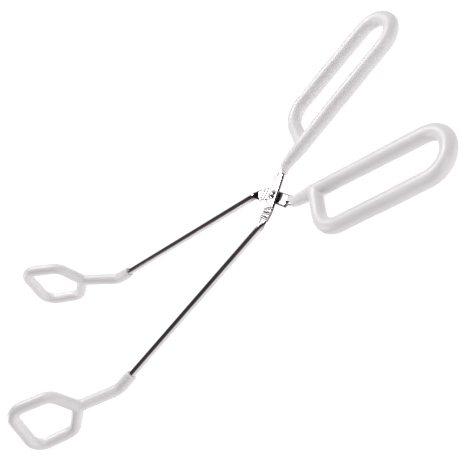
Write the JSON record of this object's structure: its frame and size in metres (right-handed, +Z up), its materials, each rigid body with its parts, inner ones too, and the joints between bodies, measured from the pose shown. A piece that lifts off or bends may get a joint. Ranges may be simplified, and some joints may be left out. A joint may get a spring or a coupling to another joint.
{
  "type": "crucible tongs",
  "caption": "Scissor-type wire tongs with cranked pentagon loop jaws and long finger loops, dipped in white vinyl.",
  "frame": {"origin": "middle of the footprint at rest, on the surface the tongs lie on; the rivet's axis is 46.3 mm towards the handles", "axes": "-X towards the jaws, +X towards the handles, +Z up along the rivet towards its domed head"},
  "size_m": [0.2912, 0.1322, 0.0497],
  "materials": {
    "plated_wire": "bright nickel-plated steel wire with faint drawing lines",
    "white_vinyl": "glossy dipped vinyl (plastisol), slightly uneven",
    "rivet_steel": "bright plated, softly worn",
    "washer_steel": "plain thin steel"
  },
  "bodies": {
    "lower_arm": {"arm_lower": "plated_wire", "handle_coat_lower": "white_vinyl", "jaw_coat_lower": "white_vinyl", "friction_washer": "washer_steel"},
    "upper_arm": {"arm_upper": "plated_wire", "handle_coat_upper": "white_vinyl", "jaw_coat_upper": "white_vinyl", "pivot_rivet": "rivet_steel", "rear_washer": "rivet_steel"}
  },
  "joints": [
    {"name": "pivot", "type": "hinge", "parent": "lower_arm", "child": "upper_arm", "pos_m": [0.04627, 0, 0.00385], "axis": [0, 0, 1], "range_deg": [-31, 36]}
  ]
}
